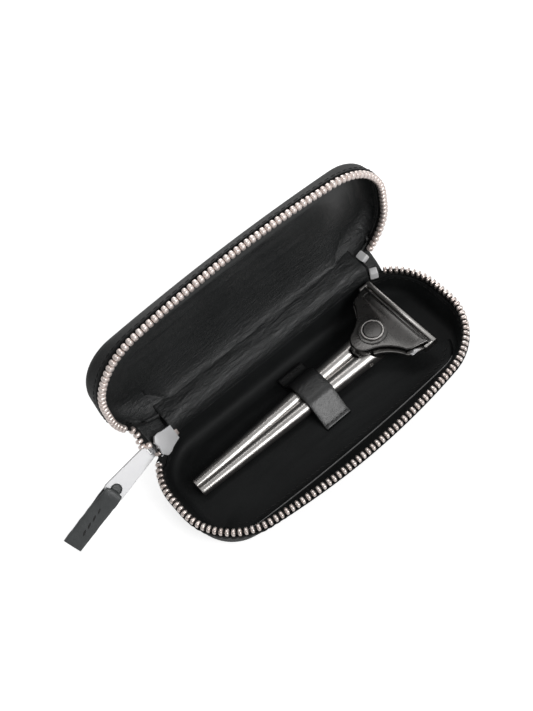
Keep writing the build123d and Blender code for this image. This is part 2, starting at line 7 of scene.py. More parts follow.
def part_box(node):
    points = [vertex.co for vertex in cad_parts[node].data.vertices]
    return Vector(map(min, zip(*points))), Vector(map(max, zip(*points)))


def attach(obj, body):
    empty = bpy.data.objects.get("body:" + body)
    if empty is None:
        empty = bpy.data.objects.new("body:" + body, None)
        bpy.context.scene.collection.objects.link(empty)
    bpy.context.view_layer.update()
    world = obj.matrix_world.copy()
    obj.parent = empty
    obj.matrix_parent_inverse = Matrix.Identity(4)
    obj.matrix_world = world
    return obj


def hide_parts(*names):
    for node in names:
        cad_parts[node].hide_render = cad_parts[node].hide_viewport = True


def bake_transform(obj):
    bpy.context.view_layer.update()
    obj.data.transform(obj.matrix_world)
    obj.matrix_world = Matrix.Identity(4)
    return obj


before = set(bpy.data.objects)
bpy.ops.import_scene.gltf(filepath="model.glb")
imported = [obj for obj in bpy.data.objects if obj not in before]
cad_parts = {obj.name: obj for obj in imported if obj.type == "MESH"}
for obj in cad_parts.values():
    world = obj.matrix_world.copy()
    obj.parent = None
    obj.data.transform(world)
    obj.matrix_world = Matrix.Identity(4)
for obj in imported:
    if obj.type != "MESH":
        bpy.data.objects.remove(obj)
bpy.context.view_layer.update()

# Zip-round leather travel case for a single-edge razor, lying open at a right angle.
# Pieces are drawn in millimetres: +X towards the razor's head, +Y towards the spine, +Z up.

# The same dimensions as the solid model
ZIP_HALF, ZIP_FRONT, ZIP_BACK = 76.0, -35.9, 32.0
ZIP_CORNER, ZIP_BACK_CORNER, ZIP_RADIUS = 29.2, 26.8, 321.0
BASE_CROWN = (73.0, -27.0, 31.6, 16.0, 20.0)
LID_CROWN = (77.2, -25.0, 32.6, 19.0, 22.0)
CROWN_RADIUS = 900.0
BASE_HEIGHT, LID_HEIGHT, RIM_DROP = 18.6, 15.3, 3.6
LEATHER, LINING_DEPTH, INNER_DEPTH, ZIP_DEPTH = 1.2, 2.0, 2.8, 1.6
EDGE_ROUND = 5.4

# How much rounder the lining's foot is along the spine and at the ends
BASE_SOFT, LID_SOFT = (2.6, 1.0), (6.5, 2.0)

AXIS_Y, AXIS_Z = 33.6, 18.6
FLOOR_Z = 3.6
RAZOR_Y, HANDLE_THICK = 6.0, 8.6
TOOTH_PITCH, TOOTH_LENGTH = 2.65, 1.4
BASE_FIRST_ANGLE, LID_FIRST_ANGLE, LAST_ANGLE = 40.0, 31.0, 58.0
SLIDER_ANGLE = 60.2
STRAP_X, STRAP_WIDTH, STRAP_THICK = 2.6, 14.0, 1.2

# Centre of the zip line's two back corners; the left one has x below zero
CORNER_X, CORNER_Y = ZIP_HALF - ZIP_BACK_CORNER, ZIP_BACK - ZIP_BACK_CORNER


def clamp(t):
    return max(0.0, min(1.0, t))


def ease(t):
    t = clamp(t)
    return t * t * (3 - 2 * t)


# Materials


def nodes_of(name):
    mat = bpy.data.materials.new(name)
    mat.use_nodes = True
    return mat, mat.node_tree, mat.node_tree.nodes["Principled BSDF"]


def add(tree, kind, **settings):
    """New node; a setting that starts with in_ goes to the input of that name."""
    node = tree.nodes.new(kind)
    for key, value in settings.items():
        if key.startswith("in_"):
            node.inputs[key[3:].replace("_", " ")].default_value = value
        else:
            setattr(node, key, value)
    return node


def coords(tree, scale=(1, 1, 1)):
    source = add(tree, "ShaderNodeTexCoord")
    mapping = add(tree, "ShaderNodeMapping", in_Scale=scale)
    tree.links.new(source.outputs["Object"], mapping.inputs["Vector"])
    return mapping.outputs["Vector"]


def speckle(tree, space, scale, detail, **settings):
    """Cloudy noise."""
    node = add(tree, "ShaderNodeTexNoise", in_Scale=scale, in_Detail=detail, **settings)
    tree.links.new(space, node.inputs["Vector"])
    return node.outputs["Fac"]


def calc(tree, operation, *values):
    """One sum on sockets or plain numbers."""
    node = add(tree, "ShaderNodeMath", operation=operation)
    for value, socket in zip(values, node.inputs):
        if isinstance(value, float):
            socket.default_value = value
        else:
            tree.links.new(value, socket)
    return node.outputs["Value"]


def stretch(tree, value, low, high, at=(0.0, 1.0), curve="LINEAR"):
    """The value, moved from the range at to the range low to high."""
    node = add(tree, "ShaderNodeMapRange", interpolation_type=curve, in_From_Min=at[0], in_From_Max=at[1],
               in_To_Min=low, in_To_Max=high)
    tree.links.new(value, node.inputs["Value"])
    return node.outputs["Result"]


def ramp(tree, value, low, high, at=(0.3, 0.7)):
    node = add(tree, "ShaderNodeValToRGB")
    for element, place, colour in zip(node.color_ramp.elements, at, (low, high)):
        element.position = place
        element.color = colour
    tree.links.new(value, node.inputs["Fac"])
    return node.outputs["Color"]


def bump(tree, shader, height, strength, distance, before=None):
    node = add(tree, "ShaderNodeBump", in_Strength=strength, in_Distance=distance)
    tree.links.new(height, node.inputs["Height"])
    if before is not None:
        tree.links.new(before, node.inputs["Normal"])
    tree.links.new(node.outputs["Normal"], shader.inputs["Normal"])
    return node.outputs["Normal"]


def grey(v, tint=(1.0, 1.0, 1.0)):
    return (v * tint[0], v * tint[1], v * tint[2], 1.0)


def leather(name, dark, light, rough, grain=0.25, crease=0.0, spec=0.5, fade=None):
    """Smooth dyed leather: pebble grain, soft clouding and, where asked, creases along X.
    fade gives the height where the creases end and the lower one where they are full."""
    mat, tree, shader = nodes_of(name)
    space = coords(tree)
    clouds = speckle(tree, space, 42.0, 5.0, in_Roughness=0.6)
    tree.links.new(ramp(tree, clouds, dark, light), shader.inputs["Base Color"])
    tree.links.new(stretch(tree, clouds, rough - 0.07, rough + 0.09), shader.inputs["Roughness"])
    shader.inputs["Specular IOR Level"].default_value = spec
    cells = add(tree, "ShaderNodeTexVoronoi", feature="DISTANCE_TO_EDGE", in_Scale=1300.0)
    tree.links.new(space, cells.inputs["Vector"])
    pebbles = calc(tree, "MULTIPLY_ADD", cells.outputs["Distance"], 0.6, speckle(tree, space, 700.0, 3.0))
    normal = bump(tree, shader, pebbles, grain, 0.00022)
    if crease:
        long_space = coords(tree, (140.0, 560.0, 560.0))
        height = speckle(tree, long_space, 1.0, 7.0, in_Roughness=0.68, in_Distortion=0.8)
        if fade:
            axes = add(tree, "ShaderNodeSeparateXYZ")
            tree.links.new(space, axes.inputs["Vector"])
            mask = stretch(tree, axes.outputs["Z"], 0.05, 1.0, fade, "SMOOTHSTEP")
            height = calc(tree, "MULTIPLY", height, mask)
        bump(tree, shader, height, crease, 0.0009, normal)
    return mat


def metal(name, colour, dark, rough, brush=0.0, solid=1.0):
    """Metal with smudged roughness, and fine lines along X where it is brushed."""
    mat, tree, shader = nodes_of(name)
    shader.inputs["Metallic"].default_value = solid
    smudge = speckle(tree, coords(tree), 170.0, 4.0)
    tree.links.new(ramp(tree, smudge, dark, colour), shader.inputs["Base Color"])
    tree.links.new(stretch(tree, smudge, rough - 0.05, rough + 0.07), shader.inputs["Roughness"])
    if brush:
        bump(tree, shader, speckle(tree, coords(tree, (30.0, 900.0, 900.0)), 3.0, 3.0), brush, 0.00004)
    else:
        bump(tree, shader, smudge, 0.06, 0.00005)
    return mat


def woven(name, dark, light, scale=1150.0, rough=0.8):
    """Twill tape or thread: two crossed sets of fine ribs."""
    mat, tree, shader = nodes_of(name)
    space = coords(tree)
    ribs = []
    for way in "XZ":
        wave = add(tree, "ShaderNodeTexWave", wave_type="BANDS", bands_direction=way, in_Scale=scale,
                   in_Distortion=1.5)
        tree.links.new(space, wave.inputs["Vector"])
        ribs.append(wave.outputs["Fac"])
    both = calc(tree, "MULTIPLY", *ribs)
    tree.links.new(ramp(tree, both, dark, light, (0.1, 0.8)), shader.inputs["Base Color"])
    shader.inputs["Roughness"].default_value = rough
    shader.inputs["Specular IOR Level"].default_value = 0.3
    bump(tree, shader, both, 0.7, 0.00015)
    return mat


COOL = (0.93, 1.0, 1.02)
M_OUTER = leather("leather_outer", grey(0.0050, COOL), grey(0.0088, COOL), 0.50, 0.4, 0.0, 0.16)
M_LINING = leather("leather_lining", grey(0.015, COOL), grey(0.023, COOL), 0.35, 0.25, 0.85, 0.55,
                   (0.058, 0.026))
# Same leather as the lid's lining, made darker: painted shade on the base's floor and walls.
M_LINING_SHADED_BASE = leather("leather_lining_painted_shade", grey(0.010, COOL), grey(0.017, COOL), 0.50, 0.3, 0.10, 0.12)
M_STRAP = leather("leather_strap", grey(0.0045, COOL), grey(0.0085, COOL), 0.36, 0.45, 0.0, 0.8)
M_TAB = leather("leather_tab", grey(0.040, COOL), grey(0.085, COOL), 0.40, 0.8, 0.0, 0.6)
M_CUT_EDGE = leather("leather_cut_edge", grey(0.30), grey(0.44), 0.6, 0.4)
M_BOARD = leather("board_core", grey(0.05), grey(0.07), 0.8, 0.4)
M_TAPE = woven("woven_tape", grey(0.008), grey(0.03))
M_THREAD = woven("thread_black", grey(0.010), grey(0.028), 2600.0, 0.6)
# Thread lighter than the black one, for stitches that show as light specks on dark seams.
M_THREAD_PALE = woven("thread_pale_specks", grey(0.03), grey(0.075), 2600.0, 0.55)
# One zip's rosy metal in two copies: the lid's row made lighter and less metallic as painted light, the
# base's row darker as painted shade.
M_TOOTH_PAINTED_LIT = metal("zip_teeth_painted_light", (0.93, 0.84, 0.80, 1), (0.84, 0.72, 0.67, 1), 0.32, solid=0.7)
M_TOOTH_PAINTED_SHADED = metal("zip_teeth_painted_shade", (0.84, 0.77, 0.73, 1), (0.66, 0.57, 0.53, 1), 0.26, solid=0.9)
M_SLIDER = metal("slider_bright", (0.80, 0.80, 0.81, 1), (0.74, 0.74, 0.755, 1), 0.42, solid=0.35)
M_STOP = metal("stop_bright", (0.95, 0.95, 0.95, 1), (0.88, 0.88, 0.89, 1), 0.45, solid=0.1)
M_STEEL = metal("razor_satin", (0.50, 0.485, 0.47, 1), (0.45, 0.435, 0.42, 1), 0.29, 0.02)
# Same satin steel as the handle, made much darker: painted dark reflection on the head plate and the button's
# top.
M_STEEL_PAINTED_REFLECTION = metal("razor_head_painted_reflection", (0.115, 0.112, 0.109, 1), (0.09, 0.088, 0.086, 1), 0.27, 0.02)
M_STEEL_DARK = metal("steel_dark", (0.16, 0.155, 0.15, 1), (0.10, 0.096, 0.093, 1), 0.36)
M_BLADE = metal("blade_bright", (0.7, 0.7, 0.71, 1), (0.6, 0.6, 0.61, 1), 0.15)


# Making meshes


def new_piece(name, verts, faces, mat, body=None, stands_for=(), flat=False):
    """One object from vertices in millimetres, with what it rides on and stands for."""
    mesh = bpy.data.meshes.new(name)
    mesh.from_pydata([tuple(c * 0.001 for c in v) for v in verts], [], faces)
    bm = bmesh.new()
    bm.from_mesh(mesh)
    bmesh.ops.remove_doubles(bm, verts=bm.verts, dist=1e-7)
    bmesh.ops.recalc_face_normals(bm, faces=bm.faces)
    for face in bm.faces:
        face.smooth = not flat
    bm.to_mesh(mesh)
    bm.free()
    obj = bpy.data.objects.new(name, mesh)
    bpy.context.scene.collection.objects.link(obj)
    mesh.materials.append(mat)
    if body:
        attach(obj, body)
    if stands_for:
        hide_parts(*stands_for)
    return obj


def skin_rows(rows, closed=True, caps=(None, None)):
    """Vertices and quads of a stack of equal rows; caps are centre points at either end."""
    n = len(rows[0])
    verts = [p for row in rows for p in row]
    faces = []
    span = n if closed else n - 1
    for r in range(len(rows) - 1):
        for i in range(span):
            j = (i + 1) % n
            faces.append((r * n + i, r * n + j, (r + 1) * n + j, (r + 1) * n + i))
    for end, centre in enumerate(caps):
        if centre is None:
            continue
        c = len(verts)
        verts.append(centre)
        r = 0 if end == 0 else len(rows) - 1
        for i in range(n):
            faces.append((r * n + i, r * n + (i + 1) % n, c))
    return verts, faces


def join_rings(faces, start, rows, around):
    """Faces of a closed bead whose rings of vertices begin at start."""
    for i in range(rows - 1):
        for j in range(around):
            k = (j + 1) % around
            faces.append((start + i * around + j, start + i * around + k,
                          start + (i + 1) * around + k, start + (i + 1) * around + j))
    faces.append(tuple(start + j for j in range(around))[::-1])
    faces.append(tuple(start + (rows - 1) * around + j for j in range(around)))


def thicken(obj, thick):
    """Gives a sheet its thickness."""
    mod = obj.modifiers.new("thick", "SOLIDIFY")
    mod.thickness = thick * 0.001
    mod.offset = 0.0
    mod.use_even_offset = True


def fold_sheet(name, cols, mat, thick, stands_for=()):
    """Sheet of leather across the fold."""
    verts, faces = skin_rows(cols, False)
    obj = new_piece(name, verts, faces, mat, None, stands_for)
    thicken(obj, thick)
    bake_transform(obj)


def bezier(a, b, c, d, t):
    u = 1 - t
    return a * u ** 3 + b * 3 * u * u * t + c * 3 * u * t * t + d * t ** 3


# The case's outlines

SIDE_POINTS, CORNER_POINTS, BACK_POINTS, FRONT_POINTS, FRONT_CORNER_POINTS = 4, 20, 44, 44, 18


def loop(half, front_y, back_y, corner, back_corner, front_radius, inset=0.0):
    """Points round an outline, the same count on each stretch whatever the inset."""
    a = half - inset
    r1 = max(corner - inset, 1.0)
    r2 = max(back_corner - inset, 1.0)
    big = front_radius - inset
    back = back_y - inset
    cy = front_y + front_radius
    y1 = cy - math.sqrt((big - r1) ** 2 - (a - r1) ** 2)
    swing = math.atan2(y1 - cy, a - r1)
    quarter = math.pi / 2
    pts = []

    def line(p, q, n):
        for i in range(n):
            t = i / n
            pts.append((p[0] + (q[0] - p[0]) * t, p[1] + (q[1] - p[1]) * t))

    def arc(c, r, start, size, n):
        for i in range(n):
            t = start + size * i / n
            pts.append((c[0] + r * math.cos(t), c[1] + r * math.sin(t)))

    line((a, y1), (a, back - r2), SIDE_POINTS)
    arc((a - r2, back - r2), r2, 0, quarter, CORNER_POINTS)
    line((a - r2, back), (-a + r2, back), BACK_POINTS)
    arc((-a + r2, back - r2), r2, quarter, quarter, CORNER_POINTS)
    line((-a, back - r2), (-a, y1), SIDE_POINTS)
    arc((-a + r1, y1), r1, math.pi, -swing, FRONT_CORNER_POINTS)
    arc((0, cy), big, -math.pi - swing, math.pi + 2 * swing, FRONT_POINTS)
    arc((a - r1, y1), r1, swing, -swing, FRONT_CORNER_POINTS)
    return pts


def zip_loop(inset=0.0):
    return loop(ZIP_HALF, ZIP_FRONT, ZIP_BACK, ZIP_CORNER, ZIP_BACK_CORNER, ZIP_RADIUS, inset)


def corner_point(angle, side=-1, out=0.0):
    """Point on the zip line at a back corner, or a distance outside it, in degrees from the end."""
    r = ZIP_BACK_CORNER + out
    turn = math.radians(angle)
    return side * (CORNER_X + r * math.cos(turn)), CORNER_Y + r * math.sin(turn)


def rim_point(angle, side, out, below):
    """Point on the base's rim at a back corner and its mirror image on the open lid's rim."""
    x, y = corner_point(angle, side, out)
    low = Vector((x, y, BASE_HEIGHT - RIM_DROP - below))
    high = Vector((x, AXIS_Y + RIM_DROP + below, AXIS_Z + AXIS_Y - y))
    return low, high


def rim_dip(x, y):
    """How far the rim dips: beside the slider and at the far end of the spine."""
    slider_dip, stop_dip = 3.9, 2.2
    if y < 6.0:
        return 0.0
    if x < 0:
        angle = math.degrees(math.atan2(y - CORNER_Y, abs(x) - CORNER_X))
        return slider_dip * ease((angle - 34) / 10) * (1 - ease((x + 57) / 5))
    return stop_dip * ease((x - 55) / 4) * (1 - ease((x - 62) / 5))


def as_base(p):
    return Vector(p)


def as_lid(p):
    """From a half that lies crown down to the lid, standing open."""
    y, z = p[1], BASE_HEIGHT + LID_HEIGHT - p[2]
    return Vector((-p[0], AXIS_Y + z - AXIS_Z, AXIS_Z - y + AXIS_Y))


# The two halves


def dish_columns(height, crown, depth, drop, lid):
    """For each point of the outline: the sharp foot, the way in, the way up the wall, the turn between
    floor and wall, the fillet's reach and radius, and the top of the wall."""
    low = loop(*crown, CROWN_RADIUS, depth)
    top = zip_loop(depth - ZIP_DEPTH)
    cols = []
    n = len(low)
    for i in range(n):
        p0 = Vector((*low[i], depth))
        p1 = Vector((*top[i], height - RIM_DROP))
        t = (Vector(low[(i + 1) % n]) - Vector(low[i - 1])).normalized()
        inward = Vector((-t.y, t.x, 0))
        wall = (p1 - p0).normalized()
        turn = (-inward).angle(wall)
        r = max(EDGE_ROUND - depth, 1.6)
        if depth > LEATHER:
            at_spine, at_end = LID_SOFT if lid else BASE_SOFT
            r += at_spine * clamp(-inward.y) ** 2 + at_end * abs(inward.x) ** 3
        reach = r * math.tan(turn / 2)
        dip = rim_dip(-p1.x if lid else p1.x, p1.y)
        end = p1 - wall * ((drop + dip) / wall.z)
        cols.append((p0, inward, wall, turn, reach, r, end))
    return cols


def dish_rows(height, crown, depth, drop, lid):
    """Rows from near the floor's middle out, round the edge and up the wall."""
    cols = dish_columns(height, crown, depth, drop, lid)
    mid = Vector((0, (crown[1] + crown[2]) / 2, depth))
    rows = []
    for s in (0.1, 0.3, 0.5, 0.68, 0.82, 0.92, 0.98):
        rows.append([mid + (p0 + f * reach - mid) * s for p0, f, w, turn, reach, r, end in cols])
    for k in range(7):
        row = []
        for p0, f, w, turn, reach, r, end in cols:
            phi = turn * k / 6
            centre = p0 + f * reach + Vector((0, 0, r))
            row.append(centre + (-f * math.sin(phi) - Vector((0, 0, 1)) * math.cos(phi)) * r)
        rows.append(row)
    for k in range(1, 9):
        rows.append([(p0 + w * reach).lerp(end, k / 8) for p0, f, w, turn, reach, r, end in cols])
    return rows, mid


def dish(name, height, crown, near, far, mat, place, body, drop, stands_for):
    """One layer of a half of the case as a closed solid with a rounded rim."""
    outer, mid_out = dish_rows(height, crown, near, drop, body == "lid")
    inner, mid_in = dish_rows(height, crown, far, drop, body == "lid")
    rim = []
    up = (far - near) * 0.42
    for k in (0.15, 0.5, 0.85):
        lift = up * math.sin(math.pi * k)
        rim.append([a.lerp(b, k) + (a - outer[-2][i]).normalized() * lift
                    for i, (a, b) in enumerate(zip(outer[-1], inner[-1]))])
    rows = outer + rim + inner[::-1]
    verts, faces = skin_rows([[place(p) for p in row] for row in rows], True,
                             (place(mid_out), place(mid_in)))
    new_piece(name, verts, faces, mat, body, stands_for)


dish("base_skin", BASE_HEIGHT, BASE_CROWN, 0.0, LEATHER, M_OUTER, as_base, "base", 0.0,
     ("base_outer_shell",))
dish("base_liner", BASE_HEIGHT, BASE_CROWN, LINING_DEPTH, INNER_DEPTH, M_LINING_SHADED_BASE, as_base, "base", 1.4,
     ("base_lining",))
dish("lid_skin", LID_HEIGHT, LID_CROWN, 0.0, LEATHER, M_OUTER, as_lid, "lid", 0.0,
     ("lid_outer_shell",))
dish("lid_liner", LID_HEIGHT, LID_CROWN, LINING_DEPTH, INNER_DEPTH, M_LINING, as_lid, "lid", 1.4,
     ("lid_lining",))


def tape(name, height, crown, place, body, stands_for):
    """Zip tape: sewn down between leather and lining, standing up past the rims, and absent at the fold."""
    lid = body == "lid"
    sewn, open_left, open_right = 5, -50.0, 57.5
    rows = []
    for depth, order in ((LEATHER, 1), (LINING_DEPTH, -1)):
        cols = dish_columns(height, crown, depth, float(sewn), lid)
        side = [[c[6] + c[2] * (k / c[2].z) for c in cols] for k in range(sewn + 1)]
        rim = height - RIM_DROP
        for up in (0.9, 1.8, 2.3):
            side.append([Vector((x, y, rim + up * (1 - clamp(rim_dip(-x if lid else x, y) / 2))))
                         for x, y in zip_loop(depth - ZIP_DEPTH)])
        rows += side[::order]
    rows.append(rows[0])
    verts, faces = skin_rows([[place(p) for p in row] for row in rows])
    kept = []
    for face in faces:
        mid = sum((verts[i] for i in face), Vector()) / 4
        y = AXIS_Z + AXIS_Y - mid.z if lid else mid.y
        if not (y > 20 and open_left < mid.x < open_right):
            kept.append(face)
    new_piece(name, verts, kept, M_TAPE, body, stands_for)


tape("base_tape", BASE_HEIGHT, BASE_CROWN, as_base, "base", ("base_zip_tape",))
tape("lid_tape", LID_HEIGHT, LID_CROWN, as_lid, "lid", ("lid_zip_tape",))

# Floor panels: half length, front y, back y, front corner and back corner
BASE_PANEL = (67.5, -25.4, 25.0, 15.0, 17.0)
LID_PANEL = (70.0, -19.5, 22.0, 17.0, 17.0)


def front_lift(x, y):
    """How far the base's panel climbs where it reaches the foot of the front wall."""
    return max(0.0, -23.2 + x * x / 1800 - y) ** 2 / 5.2


def panel(name, shape, place, body, mat, stands_for, amount, seed, crisp):
    """Thin leather panel over the floor, its edge feathered or, where crisp is 1, cut square in front."""
    rows = []
    base = loop(*shape, CROWN_RADIUS)
    mid = Vector((0, (shape[1] + shape[2]) / 2, 0))

    def soft(x, y, edge):
        q = Vector((x * 0.018, y * 0.16 + seed, 0.0))
        deep = abs(noise.noise(q)) + 0.5 * abs(noise.noise(q * 2.3))
        return amount * deep * edge

    count = 36
    for k in range(1, count + 1):
        s = (k / count) ** 0.8
        edge = ease((1 - s) * 4.5)
        row = []
        for x, y in base:
            px, py = mid.x + (x - mid.x) * s, mid.y + (y - mid.y) * s
            feather = (1 - edge) * (1 - crisp * ease((shape[1] + 13 - y) / 7))
            z = FLOOR_Z - soft(px, py, edge) - feather + crisp * front_lift(px, py)
            row.append(Vector((px, py, z)))
        rows.append(row)
    under = INNER_DEPTH - 0.3
    rows.append([Vector((x, y, under)) for x, y in base])
    top = Vector((mid.x, mid.y, FLOOR_Z - soft(mid.x, mid.y, 1.0)))
    verts, faces = skin_rows([[place(p) for p in row] for row in rows], True,
                             (place(top), place(Vector((mid.x, mid.y, under)))))
    new_piece(name, verts, faces, mat, body, stands_for)


panel("base_floor", BASE_PANEL, as_base, "base", M_LINING_SHADED_BASE, ("base_floor_panel",), 0.3, 3.1, 1.0)
panel("lid_floor", LID_PANEL, as_lid, "lid", M_LINING, ("lid_panel", "lid_panel_stitches"), 0.2, 8.4, 0.0)


def panel_edge():
    """The raw front edge of the base's panel, standing a little proud of it."""
    ring = [p for p in loop(*BASE_PANEL, CROWN_RADIUS) if p[1] < BASE_PANEL[1] + 4.5]
    rows = []
    for i, (x, y) in enumerate(ring):
        share = i / (len(ring) - 1)
        up = 0.45 * ease(share * 6) * ease((1 - share) * 6) + front_lift(x, y)
        rows.append([Vector((x, y - 0.30, INNER_DEPTH)), Vector((x, y - 0.34, FLOOR_Z - 0.25 + up)),
                     Vector((x, y - 0.10, FLOOR_Z + up)), Vector((x, y + 0.18, FLOOR_Z - 0.1 + up)),
                     Vector((x, y + 0.5, FLOOR_Z - 0.3))])
    verts, faces = skin_rows(rows, False)
    new_piece("base_panel_edge", verts, faces, M_CUT_EDGE, "base", ())


panel_edge()


# Stitches


def stitch_mesh(verts, faces, middle, along, up, length, width, height):
    """Adds one short rounded stitch lying on a surface."""
    along = along.normalized()
    side = up.cross(along).normalized()
    start = len(verts)
    rings, around = 6, 8
    for i in range(rings + 1):
        t = i / rings
        size = max(math.sin(math.pi * t), 0.16) ** 0.5
        centre = middle + along * (t - 0.5) * length
        for j in range(around):
            a = 2 * math.pi * j / around
            verts.append(centre + side * math.cos(a) * width / 2 * size + up * math.sin(a) * height * size)
    join_rings(faces, start, rings + 1, around)


def loop_stitches(name, rail, ups, place, body, mat, pitch, length, keep, stands_for=(), lean=0.0):
    """Stitches along a closed rail of points, each with its own surface normal."""
    width, height = 0.5, 0.28
    verts, faces = [], []
    n = len(rail)
    gaps = [(rail[(i + 1) % n] - rail[i]).length for i in range(n)]
    count = int(sum(gaps) / pitch)
    step = sum(gaps) / count
    i, used = 0, 0.0
    for k in range(count):
        want = k * step
        while used + gaps[i] < want:
            used += gaps[i]
            i = (i + 1) % n
        a, b = rail[i], rail[(i + 1) % n]
        p = a.lerp(b, (want - used) / gaps[i])
        if not keep(p):
            continue
        slant = lean + 0.10 * noise.noise(Vector((k * 1.7, 0.3, 2.0)))
        across = ups[i].cross(b - a).normalized()
        here = place(p)
        ahead = place(p + (b - a).normalized() * 0.1 + across * slant * 0.1)
        above = place(p + ups[i] * 0.1)
        stitch_mesh(verts, faces, here, ahead - here, (above - here).normalized(), length, width, height)
    new_piece(name, verts, faces, mat, body, stands_for)


def wall_rail(height, crown, depth, below, lid, outside):
    """Rail along the wall, a given distance below the rim, and its normals."""
    cols = dish_columns(height, crown, depth, below, lid)
    pts = [c[6] for c in cols]
    ups = []
    for i, c in enumerate(cols):
        t = (pts[(i + 1) % len(pts)] - pts[i - 1]).normalized()
        normal = t.cross(c[2]).normalized()
        ups.append(normal if outside else -normal)
    return pts, ups


def off_spine(p):
    return p.y < 24.0 or abs(p.x) > 60


for height, crown, place, body, inside in ((BASE_HEIGHT, BASE_CROWN, as_base, "base", M_THREAD),
                                           (LID_HEIGHT, LID_CROWN, as_lid, "lid", M_THREAD_PALE)):
    rail, ups = wall_rail(height, crown, 0.0, 1.9, body == "lid", True)
    loop_stitches(body + "_seam_outside", rail, ups, place, body, M_THREAD, 3.3, 2.5, off_spine)
    rail, ups = wall_rail(height, crown, INNER_DEPTH, 2.6, body == "lid", False)
    loop_stitches(body + "_seam_inside", rail, ups, place, body, inside, 3.3, 2.5, off_spine)


def panel_seam():
    """Slanted stitches along the front of the base's panel."""
    inset, round_inset = 2.8, 1.5
    half, front, back, corner, back_corner = BASE_PANEL
    ring = loop(half - inset, front + inset, back - inset, corner - round_inset, back_corner - round_inset,
                CROWN_RADIUS)
    rail = [Vector((x, y, FLOOR_Z + front_lift(x, y))) for x, y in ring]
    loop_stitches("base_panel_seam", rail, [Vector((0, 0, 1))] * len(rail), as_base, "base", M_THREAD_PALE,
                  2.7, 2.2, lambda p: p.y < front + 9.0, ("base_panel_stitches",), lean=-0.42)


panel_seam()


# Spine fold and the soft corners

S_X, S_Y = corner_point(SLIDER_ANGLE)
SLIDER = Matrix.Translation((S_X, S_Y, BASE_HEIGHT)) @ Matrix.Rotation(math.radians(-45), 4, "X") \
    @ Matrix.Rotation(math.radians(90 - SLIDER_ANGLE), 4, "Z")
PULL = SLIDER @ Matrix.Translation((-3.4, 4.5, 0)) @ Matrix.Rotation(math.radians(SLIDER_ANGLE - 90), 4, "Z")
TAIL = (SLIDER.to_3x3() @ Vector((1, 0, 0))).normalized()
LATERAL = Vector((0, math.sqrt(0.5), math.sqrt(0.5)))
CENTRE = Vector((S_X, S_Y, BASE_HEIGHT))


def spine_shift(x):
    """How far the rim has turned away from the fold's axis at x, on the leather's outer face."""
    over = max(abs(x) - CORNER_X, 0.0)
    y = CORNER_Y + math.sqrt((ZIP_BACK_CORNER + ZIP_DEPTH) ** 2 - over ** 2)
    return max(AXIS_Y - y, 0.0)


def spine_skin():
    """Outer leather of the fold, from rim to rim."""
    cols = []
    count, lo, hi = 56, -57.5, 59.5
    for i in range(count + 1):
        x = lo + (hi - lo) * i / count
        shift = spine_shift(x)
        y = AXIS_Y - shift
        below = rim_dip(x, y)
        b = Vector((x, y - 0.6, BASE_HEIGHT - RIM_DROP - below - 0.4))
        l = Vector((x, AXIS_Y + RIM_DROP + below + 0.4, AXIS_Z + shift + 0.6))
        turn = Vector((x, y - 0.5, AXIS_Z + shift + 0.5))
        turn += Vector((0, -0.7, 0.7)) * 0.15 * noise.noise(Vector((x * 0.09, 1.0, 0.6)))
        col = [bezier(b, b + Vector((0, 0, 1.6)), turn + Vector((0, -0.5, -0.9)), turn, k / 8)
               for k in range(9)]
        col += [bezier(turn, turn + Vector((0, 0.9, 0.5)), l + Vector((0, -1.6, 0)), l, k / 8)
                for k in range(1, 9)]
        cols.append(col)
    fold_sheet("spine_skin", cols, M_OUTER, LEATHER, ("spine_leather",))


def spine_drape():
    """Lining that runs from the lid's floor over the soft fold and down the base's back wall."""
    cols = []
    count, lo, hi = 120, -56.5, 58.0
    n1, n2, n3, n4 = 44, 13, 10, 9
    for i in range(count + 1):
        x = lo + (hi - lo) * i / count
        shift = spine_shift(x)
        back = Vector((0, -shift, shift))
        up = Vector((0, 0, shift * 0.7))
        start = Vector((x, 45.9, 47.0)) + up
        shelf = Vector((x, 40.0, 22.9)) + up + Vector((0, -shift * 0.4, shift * 0.3))
        ridge = Vector((x, 33.2, 20.7)) + back
        wall = Vector((x, 31.0, 15.2)) + back
        foot = Vector((x, 31.0 - shift * 1.1, 7.6))
        stretches = ((start, start + Vector((0, -0.9, -13.0)), shelf + Vector((0, 4.6, 0.5)), shelf, n1),
                     (shelf, shelf + Vector((0, -2.4, -0.3)), ridge + Vector((0, 1.7, 1.4)), ridge, n2),
                     (ridge, ridge + Vector((0, -1.6, -1.3)), wall + Vector((0, 0.3, 2.0)), wall, n3))
        col = [bezier(a, b, c, d, k / n) for a, b, c, d, n in stretches for k in range(n)]
        col += [wall.lerp(foot, k / n4) for k in range(n4 + 1)]
        end = ease((abs(x) - 46.5) / 11.0)
        for k, p in enumerate(col):
            p.y += (46.3 - p.y) * end * (1 - ease((k - n1 + 4) / (n2 + 4)))
        cols.append(crumpled(x, col, n1 + n2))
    fold_sheet("spine_drape", cols, M_LINING, 0.7, ("spine_lining",))


def crumpled(x, col, ridge_row):
    """A column of the fold's lining, moved along its normals: fine crumples near the ridge."""
    out = []
    last = len(col) - 1
    corner = ease((abs(x) - 30.0) / 18.0)
    wave = noise.noise(Vector((x * 0.045, 7.0, 0.0)))
    for k, p in enumerate(col):
        t = (col[min(k + 1, last)] - col[max(k - 1, 0)]).normalized()
        normal = Vector((0, -t.z, t.y))
        low = math.exp(-((k - ridge_row) / 15.0) ** 2)
        q = Vector((x * 0.075, k * 0.21, 3.0))
        rough = noise.noise(q) * 0.6 + noise.noise(q * 2.3) * 0.35
        fan = noise.noise(Vector((x * 0.16 + k * 0.06 * math.copysign(1, x), 9.0, 1.0))) * corner
        fade = ease(k / 18.0) * ease((last - k) / 6.0)
        out.append(p + normal * (rough * (0.10 + 0.42 * low) + (wave * 0.45 + fan * 0.45) * low) * fade)
    return out


